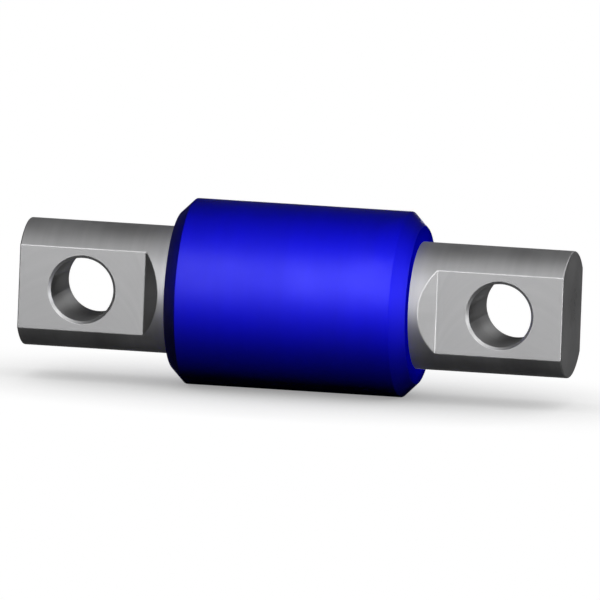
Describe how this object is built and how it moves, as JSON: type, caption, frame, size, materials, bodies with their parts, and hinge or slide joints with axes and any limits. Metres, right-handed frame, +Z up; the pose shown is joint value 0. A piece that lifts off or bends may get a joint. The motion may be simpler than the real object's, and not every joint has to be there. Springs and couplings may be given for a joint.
{
  "type": "torque rod bushing",
  "caption": "Torque rod bushing: a round chamfered polyurethane sleeve moulded on a steel bar pin whose milled flat ends are cross-drilled for bolts.",
  "frame": {"origin": "middle of the bushing, on the axis of the bar pin", "axes": "+X along the bar pin, +Y along the bolt holes and square to the milled flats, +Z up across the flats"},
  "size_m": [0.1798, 0.0602, 0.0603],
  "materials": {
    "machined_steel": "satin, turned bar with milled flats",
    "blue_polyurethane": "semi-gloss, moulded and turned"
  },
  "bodies": {
    "root": {"bar_pin": "machined_steel", "bushing_sleeve": "blue_polyurethane"}
  },
  "joints": []
}
